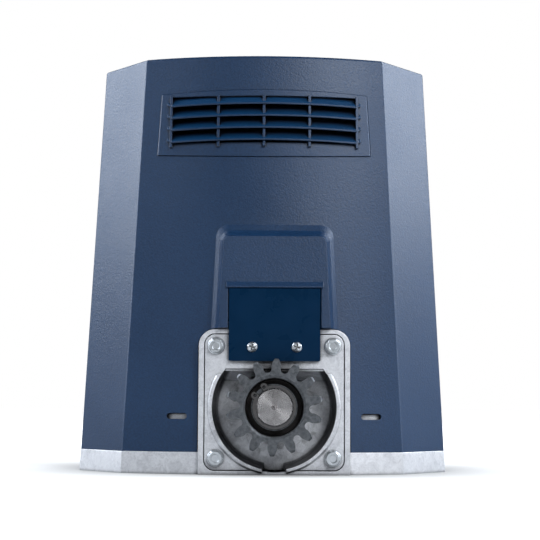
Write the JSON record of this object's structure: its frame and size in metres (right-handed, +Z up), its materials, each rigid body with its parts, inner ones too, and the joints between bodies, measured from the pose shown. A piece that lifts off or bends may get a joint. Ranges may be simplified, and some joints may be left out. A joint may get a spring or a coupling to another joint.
{
  "type": "sliding gate motor",
  "caption": "Floor-mounted sliding gate motor with a rack pinion on its front face, a vented plastic hood on a cast base, a worm gearbox and a rear release lever.",
  "frame": {"origin": "centre of the base's underside", "axes": "+Z up, -Y towards the rack pinion, +X to the right seen from the pinion side"},
  "size_m": [0.259, 0.222, 0.29],
  "materials": {
    "cast_aluminium": "tumbled die-cast, mottled satin",
    "zinc_steel": "bright zinc plate",
    "black_rubber": "matt moulded",
    "bearing_steel": "ground",
    "turned_steel": "fine turned",
    "pinion_steel": "hobbed, dull",
    "spring_steel": "blackened",
    "bronze": "machined bronze",
    "electrical_steel": "varnished laminations",
    "copper_winding": "enamelled wire",
    "black_plastic": "moulded",
    "green_plastic": "moulded",
    "board_green": "solder resist",
    "can_aluminium": "drawn can",
    "guard_blue": "smooth moulded",
    "cover_blue": "fine speckled texture",
    "chrome_lock": "polished"
  },
  "bodies": {
    "housing": {"base_casting": "cast_aluminium", "gearbox_flange": "cast_aluminium", "gearbox_housing": "cast_aluminium", "gearbox_rear_cover": "cast_aluminium", "rear_cover_screws": "zinc_steel", "flange_bolts": "zinc_steel", "oil_seal": "black_rubber", "front_bearing_outer_ring": "bearing_steel", "rear_bearing_outer_ring": "bearing_steel", "rotor_bearing_outer_rings": "bearing_steel", "stator_core": "electrical_steel", "stator_winding": "copper_winding", "motor_lower_bell": "cast_aluminium", "motor_upper_bell": "cast_aluminium", "motor_tie_bolts": "zinc_steel", "fan_cowl": "black_plastic", "guard_plate": "guard_blue", "guard_screws": "zinc_steel", "limit_sensor": "black_plastic", "release_pivot_pins": "zinc_steel", "transformer_core": "electrical_steel", "transformer_winding": "copper_winding", "transformer_bracket": "zinc_steel", "run_capacitor": "can_aluminium", "capacitor_clamp": "zinc_steel", "board_bracket": "black_plastic", "control_board": "board_green", "board_screws": "zinc_steel", "terminal_blocks": "green_plastic", "relays": "black_plastic", "controller_chip": "black_plastic", "cable_gland": "black_rubber", "levelling_screws": "zinc_steel"},
    "hood": {"cover": "cover_blue", "vent_grille": "cover_blue"},
    "output": {"output_shaft": "turned_steel", "pinion_key": "turned_steel", "drive_pinion": "pinion_steel", "circlip": "spring_steel", "clutch_keys": "turned_steel", "front_bearing_inner_ring": "bearing_steel", "rear_bearing_inner_ring": "bearing_steel"},
    "wheel": {"worm_wheel": "bronze", "wheel_hub": "pinion_steel"},
    "rotor": {"worm_shaft": "turned_steel", "rotor_core": "electrical_steel", "cooling_fan": "black_plastic", "rotor_bearing_inner_rings": "bearing_steel"},
    "clutch": {"clutch_collar": "pinion_steel"},
    "shifter": {"shift_rod": "turned_steel", "shift_fork": "pinion_steel"},
    "lever": {"release_lever": "cover_blue"},
    "lock": {"lock_cylinder": "chrome_lock", "lock_cam": "zinc_steel"}
  },
  "joints": [
    {"name": "output_spin", "type": "hinge", "parent": "housing", "child": "output", "pos_m": [0.008, 0, 0.045], "axis": [0, 1, 0], "continuous": true},
    {"name": "wheel_spin", "type": "hinge", "parent": "housing", "child": "wheel", "pos_m": [0.008, 0, 0.045], "axis": [0, 1, 0], "continuous": true},
    {"name": "rotor_spin", "type": "hinge", "parent": "housing", "child": "rotor", "pos_m": [-0.03475, -0.032, 0], "axis": [0, 0, 1], "continuous": true},
    {"name": "hood_lift", "type": "slide", "parent": "housing", "child": "hood", "axis": [0, 0, 1], "range_m": [0, 0.29]},
    {"name": "lever_swing", "type": "hinge", "parent": "housing", "child": "lever", "pos_m": [0.008, 0.08972, 0.075], "axis": [1, 0, 0], "range_deg": [0, 90]},
    {"name": "lock_turn", "type": "hinge", "parent": "lever", "child": "lock", "pos_m": [0.008, 0.08672, 0.043], "axis": [0, -1, 0], "range_deg": [0, 90]},
    {"name": "clutch_slide", "type": "slide", "parent": "output", "child": "clutch", "axis": [0, 1, 0], "range_m": [0, 0.006]},
    {"name": "shift_slide", "type": "slide", "parent": "housing", "child": "shifter", "axis": [0, 1, 0], "range_m": [0, 0.006]}
  ],
  "couplings": [
    {"joint": "wheel_spin", "follows": "output_spin", "ratio": 1},
    {"joint": "rotor_spin", "follows": "output_spin", "ratio": -28},
    {"joint": "clutch_slide", "follows": "lever_swing", "m_per_rad": 0.0038197},
    {"joint": "shift_slide", "follows": "lever_swing", "m_per_rad": 0.0038197}
  ]
}
